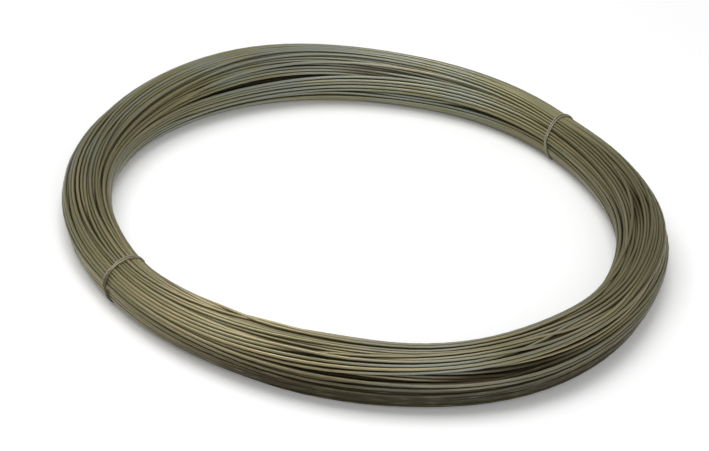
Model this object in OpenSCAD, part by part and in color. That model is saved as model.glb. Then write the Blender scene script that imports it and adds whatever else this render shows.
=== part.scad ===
// Coil of drawn steel wire: one long wire wound in a ring of turns, held by two tie wires.
// The ring lies flat on the floor, with its axis along Z and its middle over the origin.

/* [Wire] */
// Diameter of the coiled wire
wire_d = 2; // [1.6:0.1:3.5]
// Depth of the gaps that show between neighbouring turns
turn_gap_depth = 0.6; // [0.4:0.05:1.2]
// How far a turn's crest is flattened where it bears on the floor or on a former
crest_flat = 0.05; // [0.02:0.01:0.1]

/* [Coil] */
// Diameter of the bore that the turns leave open
bore_d = 320; // [200:5:600]
// Diameter of the bundle of turns
bundle_d = 34; // [24:1:48]
// How far the bundle is flattened on the floor side and on the bore side
bed_depth = 0.7; // [0.3:0.05:1.2]

/* [Ties] */
// Diameter of the tie wire
tie_d = 1.2; // [0.8:0.1:2]
// Gap between the two wraps of a tie
tie_wrap_gap = 0.3; // [0.1:0.1:1]
// Clearance between a tie and the turns that it holds
tie_clearance = 0.15; // [0.1:0.05:0.4]
// Direction of the front tie, in degrees round the coil
front_tie_angle = 219; // [180:1:270]
// Direction of the rear tie, in degrees round the coil
rear_tie_angle = 46; // [0:1:90]
// Place of the front tie's twisted ends, in degrees up from the coil's outer side
front_twist_angle = 40; // [10:1:60]
// Place of the rear tie's twisted ends, in degrees up from the coil's outer side
rear_twist_angle = 15; // [10:1:60]
// Length of a tie's twisted ends
twist_length = 8; // [5:0.5:14]
// Angle at which each twisted end crosses the loop, in degrees
twist_spread = 10; // [6:1:14]

/* [Hidden] */

$fn = 96;
overcut = 1;
wire_r = wire_d / 2;
tie_r = tie_d / 2;
bore_r = bore_d / 2;
bundle_r = bundle_d / 2;

// Distance from the bundle's middle to its flat sides, and the middle's place
flat_dist = bundle_r - bed_depth;
ring_r = bore_r + flat_dist;
ring_z = flat_dist;

// Centres of the outermost turns: a circle with two flat sides, and one turn in the middle of each flat
turn_path_r = bundle_r - wire_r;
turn_flat_dist = flat_dist - wire_r + crest_flat;
turns_shown = 4 * round(PI * turn_path_r / (2 * wire_d));

// A tie pulls the bundle round, so its loop just clears the floor and the bore
tie_loop_r = flat_dist - tie_r;
tie_seat_r = flat_dist - tie_d - tie_clearance;
tie_pitch = tie_d + tie_wrap_gap;
tie_seat_w = tie_pitch + tie_d + 2 * tie_clearance;

// The tie passes from one wrap to the other under its ends, which cross over each other on top
crossover_r = 0.9 * tie_r;
twist_step = 0.7 * tie_d;
twist_rise = 0.75 * tie_d + twist_step / 2;

// Place of an outer turn in the section, from the bundle's middle
function turn_at(angle) = [
    max(turn_path_r * cos(angle), -turn_flat_dist),
    max(turn_path_r * sin(angle), -turn_flat_dist)
];

// The bundle's outline with its two flat sides, moved inwards by a depth
module bundle_outline(inset) {
    intersection() {
        circle(r = bundle_r - inset);
        translate([inset - flat_dist, inset - flat_dist])
            square(2 * bundle_d);
    }
}

// Section of the bundle, on which each outer turn shows as a round crest
module bundle_section() {
    intersection() {
        union() {
            bundle_outline(turn_gap_depth);
            for (i = [0 : turns_shown - 1])
                translate(turn_at(i * 360 / turns_shown))
                    circle(r = wire_r);
        }
        translate([-flat_dist, -flat_dist])
            square(2 * bundle_d);
    }
}

// Moves a shape drawn round the origin to the section at one direction of the ring
module at_section(angle) {
    rotate([0, 0, angle])
        translate([ring_r, 0, ring_z])
            rotate([90, 0, 0])
                children();
}

// Slot round the bundle where a tie draws the turns in
module tie_seat(angle) {
    at_section(angle)
        linear_extrude(height = tie_seat_w, center = true)
            difference() {
                circle(r = bundle_r + overcut);
                circle(r = tie_seat_r);
            }
}

module wire_coil() {
    color("#7d7a62")
        difference() {
            rotate_extrude()
                translate([ring_r, ring_z])
                    bundle_section();
            tie_seat(front_tie_angle);
            tie_seat(rear_tie_angle);
        }
}

// Two ends of the tie wire, crossed over each other and laid flat along the loop
module twisted_ends() {
    translate([tie_loop_r, 0, 0])
        cylinder(h = tie_pitch, r = crossover_r, center = true);
    for (side = [-1, 1])
        translate([tie_loop_r + twist_rise + side * twist_step / 2, 0, 0])
            rotate([90 + side * twist_spread, 0, 0])
                cylinder(h = twist_length, r = tie_r, center = true);
}

// Two wraps of thin wire round the bundle, with their twisted ends on the outer side
module tie_wire(angle, twist_angle) {
    color("#a09c86")
        at_section(angle) {
            for (side = [-1, 1])
                translate([0, 0, side * tie_pitch / 2])
                    rotate_extrude()
                        translate([tie_loop_r, 0])
                            circle(r = tie_r);
            rotate([0, 0, twist_angle])
                twisted_ends();
        }
}

wire_coil();
tie_wire(front_tie_angle, front_twist_angle);  // tie_wire_front
tie_wire(rear_tie_angle, rear_twist_angle);  // tie_wire_rear
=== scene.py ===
import math
import bpy
import numpy as np
from mathutils import Matrix, Vector


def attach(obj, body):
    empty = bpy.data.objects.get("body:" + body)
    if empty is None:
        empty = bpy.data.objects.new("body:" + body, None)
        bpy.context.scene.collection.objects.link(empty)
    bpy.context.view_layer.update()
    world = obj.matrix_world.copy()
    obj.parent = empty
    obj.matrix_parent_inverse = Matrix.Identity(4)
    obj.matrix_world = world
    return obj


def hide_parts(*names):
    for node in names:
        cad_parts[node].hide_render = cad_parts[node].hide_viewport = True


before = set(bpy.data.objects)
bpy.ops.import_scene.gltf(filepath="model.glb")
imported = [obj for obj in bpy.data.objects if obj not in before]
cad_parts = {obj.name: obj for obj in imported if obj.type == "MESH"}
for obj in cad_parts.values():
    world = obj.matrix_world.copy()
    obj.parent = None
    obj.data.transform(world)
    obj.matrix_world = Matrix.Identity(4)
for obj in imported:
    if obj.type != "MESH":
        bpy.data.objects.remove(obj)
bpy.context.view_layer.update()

# Camera at the photo's angle
cameraSet = {
    "elevation": 32.01, "roll": 7.42, "distance": 1.5867, "aim": (-0.00696, -0.02057, 0.01676),
    "lens": 128.7, "sensor": 36.0, "clip": (0.01, 50.0),
}
elev = math.radians(cameraSet["elevation"])
roll = math.radians(cameraSet["roll"])
backDir = Vector((0.0, -math.cos(elev), math.sin(elev)))
rightDir = Vector((1.0, 0.0, 0.0))
upDir = backDir.cross(rightDir)
camRight = math.cos(roll) * rightDir + math.sin(roll) * upDir
camUp = -math.sin(roll) * rightDir + math.cos(roll) * upDir
camPos = Vector(cameraSet["aim"]) + backDir * cameraSet["distance"]
bpy.ops.object.camera_add()
camera = bpy.context.object
camera.name = "photoCamera"
camera.data.sensor_width = cameraSet["sensor"]
camera.data.lens = cameraSet["lens"]
camera.data.clip_start, camera.data.clip_end = cameraSet["clip"]
rows = [(camRight[i], camUp[i], backDir[i], camPos[i]) for i in range(3)]
camera.matrix_world = Matrix(rows + [(0.0, 0.0, 0.0, 1.0)])
bpy.context.scene.camera = camera
print("camera done")

# Lay of the wire in millimetres and degrees: directions go round the ring, heights round its section
wireLay = {
    "turns": 165, "stations": 96, "sides": 8, "radius": 1.0, "seed": 7, "ring": 176.3, "start": 75.0,
    # turns in each shell from the middle out, the outer shell's radius, and the climb beside each change
    "shells": (1, 6, 12, 17, 23, 30, 35, 41), "tight": 13.6, "shellStep": 1.85,
    "firstAngle": 20.0, "climb": 0.4,
    # the first turns, which nothing shows, have fewer stations and sides
    "hidden": 59, "hiddenStep": 3, "hiddenSides": 5,
    # half width of the bundle, and its bulges as direction, spread and size
    "half": 14.6,
    "bulges": [
        (122, 23, 4.4), (82, 14, 1.0), (265, 14, 2.2), (308, 17, 3.3), (2, 12, 1.6),
        (46, 6, -0.8), (219, 6, -0.8),
    ],
    # bulge at which the turns lie quite loose, and the looseness that they have everywhere
    "looseAt": 2.5, "leastLoose": 0.25,
    # how far the bundle strays from a true circle, as direction, spread and size
    "sway": [
        (62, 15, 4.4), (132, 16, -1.4), (188, 18, 0.2), (250, 14, -1.3), (299, 12, 2.6), (343, 14, -1.6),
    ],
    # bunches of turns in the outer shells: their sizes, drift and the spacing of their turns in wire radii
    "bunchFrom": 5, "bunch": (3, 8), "bunchShift": 8.0, "bunchWaves": (1, 2, 3, 4), "bunchPitch": 2.04,
    # turns that sweep across the section: shell, direction, spread, height, spread, shift
    "sweeps": [
        (7, 306, 30, 58, 26, 40), (6, 312, 26, 36, 28, -34), (7, 318, 16, -8, 14, 22),
        (7, 268, 22, 8, 16, -14), (7, 134, 26, 160, 26, 34), (6, 112, 24, 150, 26, -30),
        (7, 122, 26, 104, 18, -16),
    ],
    "shiftSpread": 4.0,
    # short runs of outer turns that ride over their neighbours
    "riders": 18, "riderTurns": (1, 4), "riderShift": (10, 26), "riderSpread": (32, 56),
    "riderLift": 1.6, "riderReach": 1.4,
    # long slits where an outer turn lies deeper than its neighbours: direction, spread, height, depth
    "slits": [
        (188, 18, 52, 3.2), (176, 15, 32, 2.8), (190, 11, 116, 2.1), (183, 14, 88, 1.8), (202, 10, 132, 2.1),
        (40, 24, 146, 1.6), (54, 24, 184, 1.5), (12, 9, 107, 2.2), (22, 9, 28, 2.6), (3, 8, 148, 2.2),
        (300, 15, 22, 2.4), (262, 14, 60, 2.4), (92, 13, 136, 1.7), (88, 15, 192, 1.9),
    ],
    "slitHeight": 16,
    # waver of the single wire, as waves in a turn and size, and the share of it that tight turns keep
    "wander": ((2.3, 0.3), (4.7, 0.25), (9.1, 0.1)), "leastWander": 0.15,
    # packing: how the turns push apart, settle, follow the outline and stay stiff
    "passes": 160, "pushGain": 0.8, "stepGain": 1.3, "settle": 0.004, "softness": (2.6, 1.2),
    "pullGain": 0.2, "outerPull": (1.0, 0.5), "stiff": 0.1, "stiffSpread": 2.5,
    # hold of the ties: their directions, the hold away from them, its spread, and the lift over the tie below
    "ties": (219.0, 46.0), "leastHold": 0.2, "holdSpread": 9.0,
    "tieRadius": 0.6, "tieLift": 2.1, "tieLiftSpread": 10.0,
    # shade of the gaps: reach and sharpness, least and most shade, and how deep a sunk turn lies
    "crowdReach": 1.3, "crowdPower": 3, "touchShade": (0.3, 0.9),
    "sunkFrom": 0.8, "sunkSpan": 1.4, "sunkShare": 0.9,
    # where the turns lie so closely that their gaps hardly show: direction, spread, amount
    "closed": [(63, 24, 0.75), (210, 13, 0.6), (136, 16, 0.5)],
}


# Smooths a run of values along the wire
def along(seq, sigma):
    reach = int(math.ceil(3 * sigma))
    kern = np.exp(-0.5 * (np.arange(-reach, reach + 1) / sigma) ** 2)
    kern /= kern.sum()
    return np.convolve(np.pad(seq, reach, mode="edge"), kern, "valid")


# Step that takes short waves out of a line and leaves long ones
def unbend(cfg, seq):
    soft = along(seq, cfg["stiffSpread"])
    return cfg["stiff"] * (2 * soft - along(soft, cfg["stiffSpread"]) - seq)


def turnGap(a, b):
    return (a - b + 180.0) % 360.0 - 180.0


def hill(gap, spread):
    return np.exp(-0.5 * (gap / spread) ** 2)


def swell(theta, rows):
    return sum(size * hill(turnGap(theta, mid), spread) for mid, spread, size in rows)


def waves(rng, rows, theta, harmonics):
    out = np.zeros((rows, len(theta)))
    for h in harmonics:
        size = rng.normal(0, 1 / math.sqrt(len(harmonics)), (rows, 2))
        turn = np.radians(theta) * h
        out += size[:, :1] * np.cos(turn) + size[:, 1:] * np.sin(turn)
    return out


def bunchEdges(rng, first, last, sizes):
    edges = [first]
    while last - edges[-1] > sizes[1]:
        edges.append(edges[-1] + int(rng.integers(sizes[0], sizes[1] + 1)))
    return np.array(edges + [last], float)


# First lay of the whole wire, before its turns are packed against each other
def startLay(cfg, rng):
    n, st, w = cfg["turns"], cfg["stations"], cfg["radius"]
    s = np.arange(n * st) / st
    theta = cfg["start"] + 360.0 * s
    half = cfg["half"] + swell(theta, cfg["bulges"])
    loose = np.clip((half - cfg["half"]) / cfg["looseAt"], cfg["leastLoose"], 1)
    counts = np.array(cfg["shells"])
    outer = len(counts) - 1
    ends = np.cumsum(counts)
    starts = ends - counts
    shellR = np.maximum(cfg["tight"] - cfg["shellStep"] * np.arange(len(counts))[::-1], 0)
    climbs = np.ravel(np.stack([starts + cfg["climb"], ends - cfg["climb"]], 1))
    reach = np.interp(s, climbs, np.repeat(shellR, 2)) * (half - w) / cfg["tight"]
    shell = np.searchsorted(ends, s, side="right")
    base = np.cumsum(360.0 / counts[shell] / st) + cfg["firstAngle"]

    # bunches
    shift = np.zeros(n * st)
    stTheta = cfg["start"] + 360.0 * np.arange(st) / st
    for i in range(cfg["bunchFrom"], len(counts)):
        mine = np.nonzero(shell == i)[0]
        edge = bunchEdges(rng, starts[i], ends[i], cfg["bunch"])
        local = np.clip(np.searchsorted(edge, s[mine], side="right") - 1, 0, len(edge) - 2)
        mid = (edge[local] + edge[local + 1]) / 2
        touch = np.degrees(cfg["bunchPitch"] * w / reach[mine])
        drift = waves(rng, len(edge) - 1, stTheta, cfg["bunchWaves"]) * cfg["bunchShift"]
        shift[mine] = drift[local, mine % st] * loose[mine]
        shift[mine] -= (s[mine] - mid) * np.maximum(360.0 / counts[i] - touch, 0)

    # sweeps
    for i, mid, spread, height, heightSpread, size in cfg["sweeps"]:
        near = hill(turnGap(theta, mid), spread) * hill(turnGap(base, height), heightSpread)
        shift += np.where(shell == i, near * size, 0)
    shift = along(shift, cfg["shiftSpread"])

    # riders
    lift = np.zeros(n * st)
    spots = np.nonzero(shell == outer)[0]
    for i in range(cfg["riders"]):
        mid = s[rng.choice(spots, p=loose[spots] / loose[spots].sum())]
        spread = rng.uniform(*cfg["riderSpread"])
        size = rng.uniform(*cfg["riderShift"]) * rng.choice((-1, 1))
        for turn in range(int(rng.integers(*cfg["riderTurns"], endpoint=True))):
            gap = (s - mid - turn) * 360.0 / spread
            shift += size * hill(gap, 1)
            lift = np.maximum(lift, cfg["riderLift"] * hill(gap, cfg["riderReach"]))

    # slits, with the shell below kept down so that it doesn't fill them
    for mid, spread, height, size in cfg["slits"]:
        aside = turnGap(theta, mid)
        spots = np.nonzero((shell == outer) & (np.abs(aside) < 180.0 / st))[0]
        spot = s[spots[np.argmin(np.abs(turnGap(base[spots] + shift[spots], height)))]]
        lift -= size * hill((s - spot) * 360.0, spread)
        above = turnGap(base + shift, height)
        below = np.exp(-0.5 * (aside / spread) ** 2 - 0.5 * (above / cfg["slitHeight"]) ** 2)
        lift -= np.where(shell == outer - 1, size * below, 0)

    psi = np.radians(base + shift)
    x = (reach + lift) * np.cos(psi)
    z = half + (reach + lift) * np.sin(psi)
    waver = cfg["leastWander"] + (1 - cfg["leastWander"]) * loose
    for rate, amp in cfg["wander"]:
        knots = rng.normal(0, amp, (int(n * rate) + 4, 2))
        i0 = (s * rate).astype(int)
        f = s * rate - i0
        f = f * f * (3 - 2 * f)
        x += (knots[i0, 0] * (1 - f) + knots[i0 + 1, 0] * f) * waver
        z += (knots[i0, 1] * (1 - f) + knots[i0 + 1, 1] * f) * waver
    pull = np.select([shell == outer, shell == outer - 1], cfg["outerPull"], 0.0)
    return theta, x, z, half, lift, pull


def neighbours(x, z, n, st):
    sx = x.reshape(n, st).T.astype(np.float32)
    sz = z.reshape(n, st).T.astype(np.float32)
    return sx[:, :, None] - sx[:, None, :], sz[:, :, None] - sz[:, None, :]


# Packs the turns: they push apart at each station, and the bundle's outline and the floor hold them
def layWire(cfg):
    rng = np.random.default_rng(cfg["seed"])
    n, st, w = cfg["turns"], cfg["stations"], cfg["radius"]
    theta, x, z, half, lift, pull = startLay(cfg, rng)
    tieGap = np.min([np.abs(turnGap(theta, t)) for t in cfg["ties"]], 0)
    hold = cfg["leastHold"] + (1 - cfg["leastHold"]) * hill(tieGap, cfg["holdSpread"])
    lowest = w + cfg["tieLift"] * cfg["tieRadius"] * hill(tieGap, cfg["tieLiftSpread"])
    softFirst, softLast = cfg["softness"]
    own = np.arange(n)
    for step in range(cfg["passes"]):
        late = step / (cfg["passes"] - 1)
        dx, dz = neighbours(x, z, n, st)
        d2 = dx * dx + dz * dz
        near = d2 < (2 * w) ** 2
        near[:, own, own] = False
        dist = np.sqrt(np.where(near, d2, 1) + 1e-6)
        push = np.where(near, (2 * w - dist) / dist, 0)
        gain = cfg["pushGain"] / np.sqrt(np.maximum(near.sum(2), 1))
        px = ((push * dx).sum(2) * gain).T.reshape(-1)
        pz = ((push * dz).sum(2) * gain).T.reshape(-1)
        ez = z - half
        er = np.maximum(np.hypot(x, ez), 1e-6)
        over = er - (half - w + lift)
        over = np.where(over > 0, over * hold, over * pull * cfg["pullGain"])
        px -= over * x / er
        pz -= over * ez / er + cfg["settle"] * (1 - late)
        pz += np.maximum(lowest - z, 0)
        sigma = softFirst * (1 - late) + softLast * late
        x = x + along(px, sigma) * cfg["stepGain"]
        z = z + along(pz, sigma) * cfg["stepGain"]
        x = x + unbend(cfg, x)
        z = z + unbend(cfg, z)
    z = np.maximum(z, w)
    depth = np.maximum(half - w - np.hypot(x, z - half), -cfg["sunkShare"] * lift)
    slack = np.clip((half - cfg["half"]) / cfg["looseAt"], 0, 1)
    return theta, x, z, depth, slack


# How closely other turns crowd each side of the wire, from 0 on an open crest to 1 in a gap
# the finish darkens each side by this value as painted shade between the turns, mixed with grime, and a sunk
# turn counts as fully in a gap
def crowding(cfg, theta, x, z, depth, slack):
    n, st, w, sides = cfg["turns"], cfg["stations"], cfg["radius"], cfg["sides"]
    dx, dz = neighbours(x, z, n, st)
    dist = np.sqrt(dx * dx + dz * dz) + 1e-3
    fall = hill(np.maximum(dist - 2 * w, 0), cfg["crowdReach"])
    fall[:, np.arange(n), np.arange(n)] = 0
    out = np.zeros((n * st, sides))
    for j in range(sides):
        a = 2 * math.pi * j / sides
        facing = np.maximum(-(dx * math.cos(a) + dz * math.sin(a)) / dist, 0)
        out[:, j] = (facing ** cfg["crowdPower"] * fall).sum(2).T.reshape(-1)
    sunk = np.clip((depth - cfg["sunkFrom"]) / cfg["sunkSpan"], 0, 1)
    touch = np.interp(slack, (0, 1), cfg["touchShade"]) * (1 - swell(theta, cfg["closed"]))
    return np.maximum(np.clip(out, 0, 1) * touch[:, None], sunk[:, None])


theta, wireX, wireZ, wireDepth, wireSlack = layWire(wireLay)
crowd = crowding(wireLay, theta, wireX, wireZ, wireDepth, wireSlack)
wireX = wireX + swell(theta, wireLay["sway"])
print("wire laid", wireX.min(), wireX.max(), wireZ.min(), wireZ.max())

# Unrolled layout of the wire's surface: each lap is a row, and the two cut ends share the top row
unrollSet = {"hiddenTop": 0.1, "margin": 0.06, "fill": 0.88, "capSize": (0.2, 0.4), "capAt": (0.1, 0.3)}


def deselectAll():
    for other in bpy.context.selected_objects:
        other.select_set(False)


def unrollLayer(mesh, count, sides, lap, low, high):
    layer = mesh.uv_layers.new(name="OFBake")
    fill = unrollSet["fill"]
    capWide, capTall = unrollSet["capSize"]
    firstCap, lastCap = unrollSet["capAt"]
    tall = (high - low) / (math.ceil((count - 1) / lap) + 1)
    k = np.repeat(np.arange(count - 1), sides)
    side = np.tile(np.arange(sides), count - 1)
    u0, u1 = (k % lap) / lap, (k % lap + 1) / lap
    v0 = low + (k // lap + unrollSet["margin"] + fill * side / sides) * tall
    v1 = v0 + fill / sides * tall
    corners = np.stack([u0, v0, u0, v1, u1, v1, u1, v0], -1).reshape(-1, 2)
    turnAng = np.arange(sides) * 2 * math.pi / sides
    caps = np.stack([capWide / lap * np.cos(turnAng), capTall * tall * np.sin(turnAng)], -1)
    capRow = high - 0.5 * tall
    flat = np.concatenate([corners, caps[::-1] + (firstCap, capRow), caps + (lastCap, capRow)])
    layer.data.foreach_set("uv", flat.astype(np.float32).ravel())


# A round wire along a line of centres, with its length and its round stored for the finish
def tubeObject(name, centres, sideA, sideB, radius, sides, run0=0.0, unrollRows=None):
    count = len(centres)
    turnAng = np.arange(sides) * 2 * math.pi / sides
    cosA, sinA = np.cos(turnAng), np.sin(turnAng)
    ring = cosA[None, :, None] * sideA[:, None, :] + sinA[None, :, None] * sideB[:, None, :]
    verts = (centres[:, None, :] + radius * ring).reshape(-1, 3)
    low = np.arange(count - 1)[:, None] * sides
    a = low + np.arange(sides)[None, :]
    b = low + (np.arange(sides)[None, :] + 1) % sides
    faces = np.stack([a, b, b + sides, a + sides], -1).reshape(-1, 4).tolist()
    faces.append(list(range(sides - 1, -1, -1)))
    faces.append([(count - 1) * sides + i for i in range(sides)])
    mesh = bpy.data.meshes.new(name)
    mesh.from_pydata(verts.tolist(), [], faces)
    run = run0 + np.concatenate([[0.0], np.cumsum(np.linalg.norm(np.diff(centres, axis=0), axis=1))])
    strand = np.stack([np.repeat(run, sides), np.tile(cosA, count), np.tile(sinA, count)], -1)
    data = mesh.attributes.new("strand", "FLOAT_VECTOR", "POINT")
    data.data.foreach_set("vector", strand.astype(np.float32).ravel())
    if unrollRows:
        unrollLayer(mesh, count, sides, *unrollRows)
    mesh.update()
    obj = bpy.data.objects.new(name, mesh)
    bpy.context.collection.objects.link(obj)
    deselectAll()
    obj.select_set(True)
    bpy.context.view_layer.objects.active = obj
    bpy.ops.object.mode_set(mode="EDIT")
    bpy.ops.mesh.select_all(action="SELECT")
    bpy.ops.mesh.normals_make_consistent(inside=False)
    bpy.ops.object.mode_set(mode="OBJECT")
    bpy.ops.object.shade_smooth()
    return obj


def storeCrevice(obj, values):
    data = obj.data.attributes.new("crevice", "FLOAT", "POINT")
    data.data.foreach_set("value", values.astype(np.float32).ravel())


ang = np.radians(theta)
outward = np.stack([np.cos(ang), np.sin(ang), np.zeros_like(ang)], -1)
upward = np.tile([0.0, 0.0, 1.0], (len(ang), 1))
centres = (outward * (wireLay["ring"] + wireX)[:, None] + upward * wireZ[:, None]) / 1000
lap = wireLay["stations"]
firstShown = wireLay["hidden"] * lap
inner = np.arange(0, firstShown + 1, wireLay["hiddenStep"])
radius = wireLay["radius"] / 1000
core = tubeObject(
    "hiddenTurns", centres[inner], outward[inner], upward[inner], radius, wireLay["hiddenSides"],
    0.0, (lap // wireLay["hiddenStep"], 0.0, unrollSet["hiddenTop"]))
hiddenRun = np.linalg.norm(np.diff(centres[inner], axis=0), axis=1).sum()
coil = tubeObject(
    "wireTurns", centres[firstShown:], outward[firstShown:], upward[firstShown:], radius, wireLay["sides"],
    hiddenRun, (lap, unrollSet["hiddenTop"], 1.0))
# the finish darkens the wire by these gap values as painted shade; the hidden turns get the full value, so
# they show painted dark through the slits
storeCrevice(coil, crowd[firstShown:])
storeCrevice(core, np.ones(len(core.data.vertices)))
deselectAll()
core.select_set(True)
coil.select_set(True)
bpy.context.view_layer.objects.active = coil
bpy.ops.object.join()
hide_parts("wire_coil")
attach(coil, "root")
print("coil mesh", len(coil.data.polygons))

# Tie wires in millimetres: two wraps drawn taut round the turns, with twisted ends on the outer side
tieSet = {
    "radius": 0.46, "sides": 8,
    # wraps: spacing, points along them, where they start and cross over, and how far they stray
    "pitch": 1.3, "step": 0.7, "wrapFrom": 2.5, "crossRun": 2.0,
    "stray": 0.25, "strayWaves": 1.7, "smooth": 1.1,
    # twisted ends: length, length of a twist, points along them, and rise in wire radii
    "twistLength": 8.0, "twistPitch": 4.4, "twistStep": 0.45, "twistRise": 3.1,
    # taut loop: points, stations taken, degrees between a turn's points, and clearance to the floor
    "samples": 400, "pick": 0.6, "roundStep": 15, "floorGap": 0.05,
    # name, node, direction, height of the twist, spread of the wraps, lean and the height where it is largest
    "ties": [
        ("tieFront", "tie_wire_front", 218.4, 40.0, 1.0, -1.8, 150.0),
        ("tieRear", "tie_wire_rear", 46.7, 15.0, 1.2, 2.9, 60.0),
    ],
}


def convexOutline(pts):
    pts = pts[np.lexsort((pts[:, 1], pts[:, 0]))]
    halves = []
    for seq in (pts, pts[::-1]):
        chain = []
        for p in seq:
            while len(chain) > 1:
                e = chain[-1] - chain[-2]
                g = p - chain[-2]
                if e[0] * g[1] - e[1] * g[0] > 0:
                    break
                chain.pop()
            chain.append(p)
        halves.append(chain[:-1])
    return np.array(halves[0] + halves[1])


# Taut loop round the section at one direction, from a height on its outer side, as place and outward normal
def tautLoop(angle, height):
    pick = np.abs(turnGap(theta, angle)) < tieSet["pick"] * 360 / wireLay["stations"]
    roundTurn = np.radians(np.arange(0, 360, tieSet["roundStep"]))
    reach = wireLay["radius"] + tieSet["radius"]
    px = wireX[pick][:, None] + reach * np.cos(roundTurn)
    pz = wireZ[pick][:, None] + reach * np.sin(roundTurn)
    hull = convexOutline(np.stack([px.ravel(), pz.ravel()], -1))
    mid = (hull.min(0) + hull.max(0)) / 2
    around = np.degrees(np.arctan2(hull[:, 1] - mid[1], hull[:, 0] - mid[0]))
    hull = np.roll(hull, -int(np.argmin(np.abs(turnGap(around, height)))), 0)
    closed = np.concatenate([hull, hull[:1]])
    run = np.concatenate([[0], np.cumsum(np.linalg.norm(np.diff(closed, axis=0), axis=1))])
    s = np.linspace(0, run[-1], tieSet["samples"])
    loop = np.stack([np.interp(s, run, closed[:, 0]), np.interp(s, run, closed[:, 1])], -1)
    loop[:, 1] = np.maximum(loop[:, 1], tieSet["radius"] + tieSet["floorGap"])
    step = np.gradient(loop, axis=0)
    normal = np.stack([step[:, 1], -step[:, 0]], -1) / np.linalg.norm(step, axis=1)[:, None]
    return s, loop, normal


# Whole tie from one twisted end to the other, in metres
def tieLine(angle, height, spread, lean, leanAt):
    r, pitch = tieSet["radius"], tieSet["pitch"] * spread
    s, loop, normal = tautLoop(angle, height)
    total = s[-1]
    mid = (loop.min(0) + loop.max(0)) / 2

    def at(run, rise, side):
        m = run % total
        p = [np.interp(m, s, loop[:, i]) + rise * np.interp(m, s, normal[:, i]) for i in (0, 1)]
        around = np.arctan2(p[1] - mid[1], p[0] - mid[0])
        return np.stack([p[0], p[1], side + lean * np.cos(around - math.radians(leanAt))], -1)

    wrap = np.arange(tieSet["wrapFrom"], 2 * total - tieSet["wrapFrom"], tieSet["step"])
    lane = pitch * (1 / (1 + np.exp(-(wrap - total) / tieSet["crossRun"])) - 0.5)
    strayed = tieSet["stray"] * np.sin(wrap / total * 2 * math.pi * tieSet["strayWaves"] + height)
    tail = np.arange(0.0, tieSet["twistLength"], tieSet["twistStep"])
    spin = 2 * math.pi * tail / tieSet["twistPitch"]
    ends = []
    for phase in (0.0, math.pi):
        rise = tieSet["twistRise"] * r + r * np.sin(spin + phase)
        ends.append(at(total - tail, rise, r * np.cos(spin + phase)))
    flat = np.concatenate([ends[0][::-1], at(wrap, 0.0, lane + strayed), ends[1]])
    flat = np.stack([along(flat[:, i], tieSet["smooth"]) for i in range(3)], -1)
    a = math.radians(angle)
    radial = np.array([math.cos(a), math.sin(a), 0.0])
    tangent = np.array([-math.sin(a), math.cos(a), 0.0])
    up = np.array([0.0, 0.0, 1.0])
    line = radial * (wireLay["ring"] + flat[:, :1]) + up * flat[:, 1:2] + tangent * flat[:, 2:]
    return line / 1000


# Two directions across a line, carried along it without twist
def carriedFrame(line):
    ahead = np.gradient(line, axis=0)
    ahead /= np.linalg.norm(ahead, axis=1)[:, None]
    side = np.cross(ahead[0], [0.0, 0.0, 1.0])
    sides = []
    for t in ahead:
        side = side - t * side.dot(t)
        side /= np.linalg.norm(side)
        sides.append(side)
    sideA = np.array(sides)
    return sideA, np.cross(ahead, sideA)


ties = []
for tieName, node, *place in tieSet["ties"]:
    line = tieLine(*place)
    sideA, sideB = carriedFrame(line)
    tie = tubeObject(tieName, line, sideA, sideB, tieSet["radius"] / 1000, tieSet["sides"])
    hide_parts(node)
    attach(tie, "root")
    ties.append(tie)
print("ties done", [len(t.data.polygons) for t in ties])

# Tones of the wire: noises as stretch and detail, bands as none, full and amount, zones as amount and bands
toneSet = {
    "patch": ((14, 14, 30), 3.0), "coolRun": ((6.3, 0.5, 0.5), 2.0), "warmRun": ((9, 0.5, 0.5), 2.0),
    "stain": ((70, 1.1, 1.1), 3.0), "drawLine": ((5, 9, 9), 2.0),
    # bluish tone: gain for each metre to the back, and the zones that have more or less of it
    "coolBack": 0.3, "coolBand": (0.44, 0.58),
    "coolZones": [
        (-0.17, ("X", 0.01, 0.11), ("Y", -0.13, -0.03)),
        (-0.1, ("X", -0.07, -0.17), ("Y", 0.13, 0.04)),
        (0.07, ("X", -0.02, 0.06), ("Y", -0.09, -0.14)),
    ],
    # brown tone, mostly at the front
    "warmBand": (0.57, 0.74),
    "warmZones": [
        (0.12, ("Y", 0.12, -0.12)),
        (-0.06, ("X", -0.1, -0.15)),
        (0.12, ("X", 0.04, -0.05), ("Y", -0.09, -0.15)),
    ],
    # tarnish in spots and gaps, and in the gaps dirt mixed with painted shade
    "rustStain": (0.62, 0.76, 0.8), "rustGap": (0.1, 0.6, 0.5),
    "gapShadeGrime": (0.25, 0.88), "gapShadeGrimeStain": (0.1, 0.42),
    # painted shade low on the front of the coil, and the stretch in X over which it fades to the left
    "lowFrontShadeZone": (0.95, ("Z", 0.026, 0.013), ("Y", 0.02, -0.12)), "lowFrontShadeStain": (0.2, 0.46),
    "lowFrontShadeFade": (-0.15, -0.05),
    # darker left, right, near middle and front left
    "darkerZones": [
        (0.26, ("X", -0.12, -0.19), ("Y", -0.1, -0.02), ("Y", 0.13, 0.04)),
        (0.34, ("X", 0.02, 0.17), ("Y", -0.13, -0.03)),
        (0.3, ("aside", 0.08, 0.02), ("Y", -0.12, -0.17)),
        (0.16, ("X", -0.05, -0.13), ("Y", -0.03, -0.08)),
    ],
    "lineDirt": (0.5, 0.75, 0.25),
    "roughStain": (0.35, 0.75, 0.16), "roughLine": (0.3, 0.7, 0.1), "roughGap": (0.2, 1.0, 0.2),
    "roughLowShade": 0.3,
    "lineHeight": 0.6, "stainHeight": 0.4,
}
toneColours = ("Base", "Cool", "Brown", "GrimeAndShade", "Rust")
toneValues = ("Dull", "LowShadeAllAcross")


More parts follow.
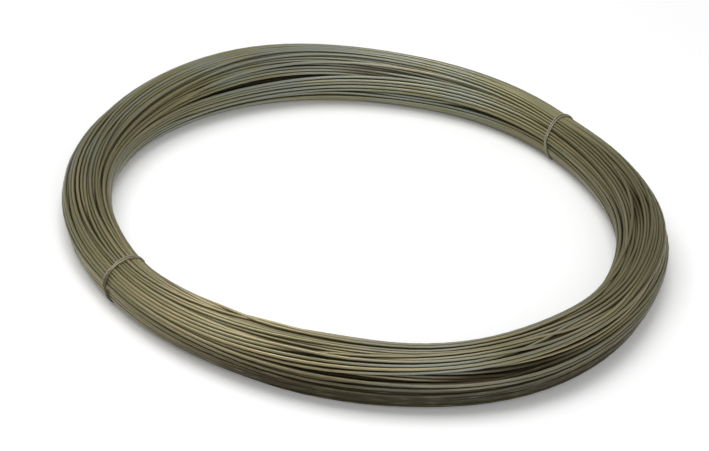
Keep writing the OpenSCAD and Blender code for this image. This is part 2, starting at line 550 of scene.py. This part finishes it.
# Finish of drawn wire, shared by the coil and the ties
def wireFinish(cfg):
    group = bpy.data.node_groups.new("wireFinish", "ShaderNodeTree")
    wanted = [(name, "INPUT", "NodeSocketVector") for name in ("Strand", "Place")]
    wanted += [(name, "INPUT", "NodeSocketFloat") for name in ("Crevice", *toneValues)]
    wanted += [(name, "INPUT", "NodeSocketColor") for name in toneColours]
    wanted += [("Color", "OUTPUT", "NodeSocketColor")]
    wanted += [(name, "OUTPUT", "NodeSocketFloat") for name in ("Roughness", "Height", "FreeOfShadeAndGrime")]
    for name, side, kind in wanted:
        group.interface.new_socket(name, in_out=side, socket_type=kind)
    nodes, links = group.nodes, group.links
    given = nodes.new("NodeGroupInput").outputs
    result = nodes.new("NodeGroupOutput").inputs

    def noise(source, stretch, detail):
        scaled = nodes.new("ShaderNodeVectorMath")
        scaled.operation = "MULTIPLY"
        scaled.inputs[1].default_value = stretch
        links.new(source, scaled.inputs[0])
        tex = nodes.new("ShaderNodeTexNoise")
        tex.inputs["Scale"].default_value = 1.0
        tex.inputs["Detail"].default_value = detail
        links.new(scaled.outputs["Vector"], tex.inputs["Vector"])
        return tex.outputs["Fac"]

    def band(source, none, full, amount=1.0):
        scale = nodes.new("ShaderNodeMapRange")
        scale.inputs["From Min"].default_value = none
        scale.inputs["From Max"].default_value = full
        scale.inputs["To Max"].default_value = amount
        links.new(source, scale.inputs["Value"])
        return scale.outputs["Result"]

    def combine(kind, a, b):
        node = nodes.new("ShaderNodeMath")
        node.operation = kind
        for socket, value in ((node.inputs[0], a), (node.inputs[1], b)):
            if isinstance(value, (int, float)):
                socket.default_value = value
            else:
                links.new(value, socket)
        return node.outputs["Value"]

    def blend(amount, first, second):
        mix = nodes.new("ShaderNodeMix")
        mix.data_type = "RGBA"
        links.new(amount, mix.inputs[0])
        links.new(first, mix.inputs[6])
        links.new(second, mix.inputs[7])
        return mix.outputs[2]

    split = nodes.new("ShaderNodeSeparateXYZ")
    links.new(given["Place"], split.inputs["Vector"])
    axes = {axis: split.outputs[axis] for axis in ("X", "Y", "Z")}
    axes["aside"] = combine("ABSOLUTE", axes["X"], 0)

    def zone(amount, *bands):
        axis, none, full = bands[0]
        share = band(axes[axis], none, full, amount)
        for axis, none, full in bands[1:]:
            share = combine("MULTIPLY", share, band(axes[axis], none, full))
        return share

    def addZones(tone, zones):
        for amount, *bands in zones:
            kind = "ADD" if amount > 0 else "SUBTRACT"
            tone = combine(kind, tone, zone(abs(amount), *bands))
        return tone

    patch = noise(given["Place"], *cfg["patch"])
    coolRun, warmRun, stain, drawLine = [
        noise(given["Strand"], *cfg[name]) for name in ("coolRun", "warmRun", "stain", "drawLine")]
    cool = combine("MULTIPLY", combine("ADD", patch, coolRun), 0.5)
    cool = combine("ADD", cool, combine("MULTIPLY", axes["Y"], cfg["coolBack"]))
    cool = addZones(cool, cfg["coolZones"])
    color = blend(band(cool, *cfg["coolBand"]), given["Base"], given["Cool"])
    warm = addZones(warmRun, cfg["warmZones"])
    color = blend(band(warm, *cfg["warmBand"]), color, given["Brown"])
    color = blend(band(stain, *cfg["rustStain"]), color, given["Rust"])
    color = blend(band(given["Crevice"], *cfg["rustGap"]), color, given["Rust"])
    # dark colour in the gaps: grime mixed with painted shade from the crowding turns
    shadeAndGrime = combine("MULTIPLY", band(given["Crevice"], *cfg["gapShadeGrime"]), band(stain, *cfg["gapShadeGrimeStain"]))
    color = blend(shadeAndGrime, color, given["GrimeAndShade"])
    # painted shade low on the front of the coil, and on the ties low all along them: darker, rougher and less
    # shiny
    lowShade = combine("MULTIPLY", zone(*cfg["lowFrontShadeZone"]), band(stain, *cfg["lowFrontShadeStain"]))
    lowShade = combine("MULTIPLY", lowShade, combine("MAXIMUM", band(axes["X"], *cfg["lowFrontShadeFade"]), given["LowShadeAllAcross"]))
    color = blend(lowShade, color, given["GrimeAndShade"])
    darkening = addZones(zone(*cfg["darkerZones"][0]), cfg["darkerZones"][1:])
    color = blend(darkening, color, given["GrimeAndShade"])
    color = blend(band(drawLine, *cfg["lineDirt"]), color, given["GrimeAndShade"])
    links.new(color, result["Color"])
    rough = combine("ADD", given["Dull"], band(stain, *cfg["roughStain"]))
    rough = combine("ADD", rough, band(drawLine, *cfg["roughLine"]))
    rough = combine("ADD", rough, band(given["Crevice"], *cfg["roughGap"]))
    rough = combine("ADD", rough, combine("MULTIPLY", lowShade, cfg["roughLowShade"]))
    links.new(rough, result["Roughness"])
    # metal and coat fall away where painted shade and grime lie
    links.new(combine("SUBTRACT", 1.0, combine("MAXIMUM", lowShade, shadeAndGrime)), result["FreeOfShadeAndGrime"])
    lineHeight = combine("MULTIPLY", drawLine, cfg["lineHeight"])
    stainHeight = combine("MULTIPLY", stain, cfg["stainHeight"])
    links.new(combine("ADD", lineHeight, stainHeight), result["Height"])
    return group


finishGroup = wireFinish(toneSet)
finishes = {
    # the darkest colour serves grime and painted shade, and the ties take the painted low shade all along
    # them
    "drawnWire": {
        "Base": (0.262, 0.246, 0.122), "Cool": (0.29, 0.318, 0.265), "Brown": (0.45, 0.383, 0.212),
        "GrimeAndShade": (0.035, 0.026, 0.005), "Rust": (0.21, 0.16, 0.065), "Dull": 0.32, "LowShadeAllAcross": 0.0,
        "metal": 0.65, "coat": 0.4, "coatRough": 0.22, "bump": 0.5, "bumpDepth": 0.00004,
    },
    "tieWire": {
        "Base": (0.42, 0.40, 0.30), "Cool": (0.43, 0.43, 0.345), "Brown": (0.44, 0.39, 0.26),
        "GrimeAndShade": (0.09, 0.075, 0.04), "Rust": (0.25, 0.16, 0.08), "Dull": 0.38, "LowShadeAllAcross": 1.0,
        "metal": 0.4, "coat": 0.2, "coatRough": 0.22, "bump": 0.5, "bumpDepth": 0.00003,
    },
}


def newMaterial(name):
    mat = bpy.data.materials.new(name)
    mat.use_nodes = True
    return mat, mat.node_tree.nodes, mat.node_tree.links, mat.node_tree.nodes["Principled BSDF"]


def wireMaterial(name, crowded):
    cfg = finishes[name]
    mat, nodes, links, shader = newMaterial(name)
    finish = nodes.new("ShaderNodeGroup")
    finish.node_tree = finishGroup
    strand = nodes.new("ShaderNodeAttribute")
    strand.attribute_name = "strand"
    place = nodes.new("ShaderNodeTexCoord")
    links.new(strand.outputs["Vector"], finish.inputs["Strand"])
    links.new(place.outputs["Object"], finish.inputs["Place"])
    if crowded:
        gap = nodes.new("ShaderNodeAttribute")
        gap.attribute_name = "crevice"
        links.new(gap.outputs["Fac"], finish.inputs["Crevice"])
    for key in toneColours:
        finish.inputs[key].default_value = (*cfg[key], 1)
    for key in toneValues:
        finish.inputs[key].default_value = cfg[key]
    bump = nodes.new("ShaderNodeBump")
    bump.inputs["Strength"].default_value = cfg["bump"]
    bump.inputs["Distance"].default_value = cfg["bumpDepth"]
    links.new(finish.outputs["Height"], bump.inputs["Height"])
    links.new(finish.outputs["Color"], shader.inputs["Base Color"])
    links.new(finish.outputs["Roughness"], shader.inputs["Roughness"])
    links.new(bump.outputs["Normal"], shader.inputs["Normal"])
    for key, socket in (("metal", "Metallic"), ("coat", "Coat Weight")):
        share = nodes.new("ShaderNodeMath")
        share.operation = "MULTIPLY"
        share.inputs[1].default_value = cfg[key]
        links.new(finish.outputs["FreeOfShadeAndGrime"], share.inputs[0])
        links.new(share.outputs["Value"], shader.inputs[socket])
    shader.inputs["Coat Roughness"].default_value = cfg["coatRough"]
    return mat


coil.data.materials.append(wireMaterial("drawnWire", True))
tieMat = wireMaterial("tieWire", False)
for tie in ties:
    tie.data.materials.append(tieMat)
print("materials done")

# Floor and light: the floor's grey as seen and as it lights the coil, and lamps as power, size and place
stageSet = {
    "floor": 12.0, "shown": 0.95, "bounce": 0.4, "glow": 0.1, "rough": 0.8, "specular": 0.1, "world": 0.32,
    "lamps": [("key", 31.0, 1.7, (-0.5, 0.0, 1.95)), ("fill", 14.0, 1.6, (0.8, -2.0, 1.3))],
}
bpy.ops.mesh.primitive_plane_add(size=stageSet["floor"], location=(0, 0, 0))
floor = bpy.context.object
floor.name = "studioFloor"
floorMat, nodes, links, shader = newMaterial("paleFloor")
rays = nodes.new("ShaderNodeLightPath")
seen = rays.outputs["Is Camera Ray"]
for kind in ("Is Glossy Ray", "Is Transmission Ray"):
    either = nodes.new("ShaderNodeMath")
    either.operation = "MAXIMUM"
    links.new(seen, either.inputs[0])
    links.new(rays.outputs[kind], either.inputs[1])
    seen = either.outputs["Value"]
tone = nodes.new("ShaderNodeMix")
tone.data_type = "RGBA"
tone.inputs[6].default_value = (stageSet["bounce"],) * 3 + (1,)
tone.inputs[7].default_value = (stageSet["shown"],) * 3 + (1,)
links.new(seen, tone.inputs[0])
links.new(tone.outputs[2], shader.inputs["Base Color"])
glow = nodes.new("ShaderNodeMath")
glow.operation = "MULTIPLY"
glow.inputs[1].default_value = stageSet["glow"]
links.new(seen, glow.inputs[0])
links.new(glow.outputs["Value"], shader.inputs["Emission Strength"])
shader.inputs["Emission Color"].default_value = (1, 1, 1, 1)
shader.inputs["Roughness"].default_value = stageSet["rough"]
shader.inputs["Specular IOR Level"].default_value = stageSet["specular"]
floor.data.materials.append(floorMat)
world = bpy.data.worlds.new("studioWorld")
bpy.context.scene.world = world
world.use_nodes = True
background = world.node_tree.nodes["Background"]
background.inputs["Color"].default_value = (1, 1, 1, 1)
background.inputs["Strength"].default_value = stageSet["world"]
for lampName, energy, size, place in stageSet["lamps"]:
    bpy.ops.object.light_add(type="AREA", location=place)
    lamp = bpy.context.object
    lamp.name = lampName
    lamp.data.energy = energy
    lamp.data.size = size
    lamp.rotation_euler = (-lamp.location).to_track_quat("-Z", "Y").to_euler()
bpy.context.scene.view_settings.view_transform = "Standard"
print("stage done")
